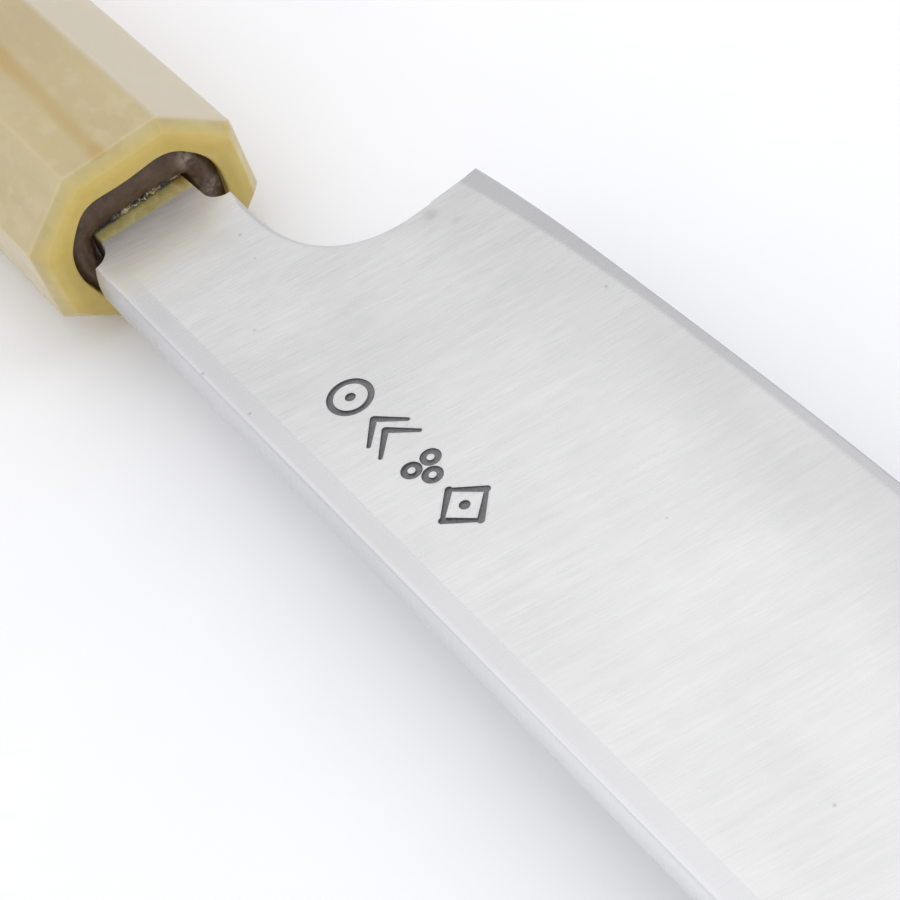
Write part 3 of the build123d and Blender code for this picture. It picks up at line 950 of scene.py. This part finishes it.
def resin_material():
    """Dark brown resin with pale scuffs."""
    s = Shader("dark_resin", Roughness=0.4)
    place = s.knife_space()
    patches = s.noise(s.stretch(place, (1.6, 1.6, 1.6)), 1.0, 5.0, 0.65)
    base = s.ramp(patches, (0.35, (0.054, 0.028, 0.014)), (0.65, (0.105, 0.063, 0.036)))
    for centre, size, strength in RESIN_SCUFFS:
        scuff = s.times(s.near(place, centre, 0.1, size), s.range(patches, 0.4, 0.6))
        base = s.blend(s.times(scuff, strength), base, (0.36, 0.31, 0.25))
    s.link("Base Color", base)
    s.bump(patches, 0.4, 0.0003)
    return s.material


def glue_material():
    """Dried glue, in blue-black patches and pale crumbs."""
    s = Shader("dried_glue", Roughness=0.45)
    place = s.knife_space()
    grit = s.noise(s.stretch(place, (0.5, 0.5, 0.5)), 1.0, 4.0, 0.7)
    patch = s.noise(s.stretch(place, (2.4, 1.6, 1.2)), 1.0, 2.0)
    s.link("Base Color", s.ramp(
        s.plus(s.times(grit, 0.5), s.times(patch, 0.5)),
        (0.43, (0.020, 0.021, 0.030)), (0.48, (0.055, 0.060, 0.085)),
        (0.51, (0.17, 0.13, 0.08)), (0.56, (0.55, 0.48, 0.33)),
    ))
    s.bump(grit, 0.6, 0.0002)
    return s.material


def table_material():
    """White, with hardly any mottling."""
    s = Shader("white_table", Roughness=0.6)
    mottle = s.noise(s.add("TexCoord").outputs["Object"], 40.0, 4.0)
    colours = (0.3, (0.938, 0.942, 0.965)), (0.7, (0.958, 0.962, 0.985))
    s.link("Base Color", s.ramp(mottle, *colours))
    return s.material


# ---------------------------------------------------------------- scene


def build_table():
    bpy.ops.mesh.primitive_plane_add(size=TABLE_SIZE, location=(0, 0, 0))
    table = bpy.context.object
    table.name = "table"
    wear(table, table_material())


def build_lamp():
    """One large soft lamp behind the cutting edge, aimed at the middle of the knife."""
    light = bpy.data.lights.new("soft_lamp", "AREA")
    light.shape = "DISK"
    light.size = LAMP_SIZE
    light.energy = LAMP_POWER
    lamp = bpy.data.objects.new("soft_lamp", light)
    lamp.location = LAMP_PLACE
    lamp.rotation_euler = (-Vector(LAMP_PLACE)).to_track_quat("-Z", "Y").to_euler()
    bpy.context.scene.collection.objects.link(lamp)


def build_room():
    """A white room: bright sweep at the horizon, dimmer walls, bright ceiling."""
    world = bpy.data.worlds.new("studio")
    room = Tree(world)
    direction = room.add("TexCoord").outputs["Generated"]
    slope = room.add("VectorMath", {0: direction, 1: ROOM_UP}, operation="DOT_PRODUCT")
    stops = [(at, (0.99 * value, 0.99 * value, value)) for at, value in ROOM_LIGHT]
    walls = room.ramp(slope.outputs["Value"], *stops)
    above = room.range(room.axes(direction)["Z"], HORIZON_LOW, HORIZON_HIGH)
    light = room.blend(above, HORIZON_LIGHT, walls)
    room.links.new(light, room.nodes["Background"].inputs["Color"])
    bpy.context.scene.world = world


def build_camera():
    """Close above the blade, near its tip side, looking back to the ferrule."""
    turn = PLACE.to_3x3()
    eye = PLACE @ Vector(EYE)
    forward = (turn @ Vector(LOOK)).normalized()
    down = (turn @ Vector(PICTURE_DOWN)).normalized()
    right = down.cross(forward).normalized()
    up = right.cross(forward).normalized()
    camera_data = bpy.data.cameras.new("camera")
    camera_data.sensor_width = SENSOR_WIDTH
    camera_data.lens = LENS
    camera_data.clip_start = CLIP_START
    camera = bpy.data.objects.new("camera", camera_data)
    camera.matrix_world = Matrix((
        (right.x, up.x, -forward.x, eye.x),
        (right.y, up.y, -forward.y, eye.y),
        (right.z, up.z, -forward.z, eye.z),
        (0, 0, 0, 1),
    ))
    bpy.context.scene.collection.objects.link(camera)
    bpy.context.scene.camera = camera


def main():
    finish_piece(build_blade(), "steel", "blade")
    finish_piece(wear(build_ferrule(), horn_material()), "horn", "horn_ferrule")
    finish_piece(wear(build_handle(), wood_material()), "wood", "handle_body", "tang_bedding")
    finish_piece(wear(build_resin(), resin_material()), "resin", "mouth_resin")
    finish_piece(wear(build_beads(), glue_material()), "resin")
    build_table()
    build_room()
    build_lamp()
    build_camera()
    bpy.context.scene.view_settings.view_transform = "Standard"


main()
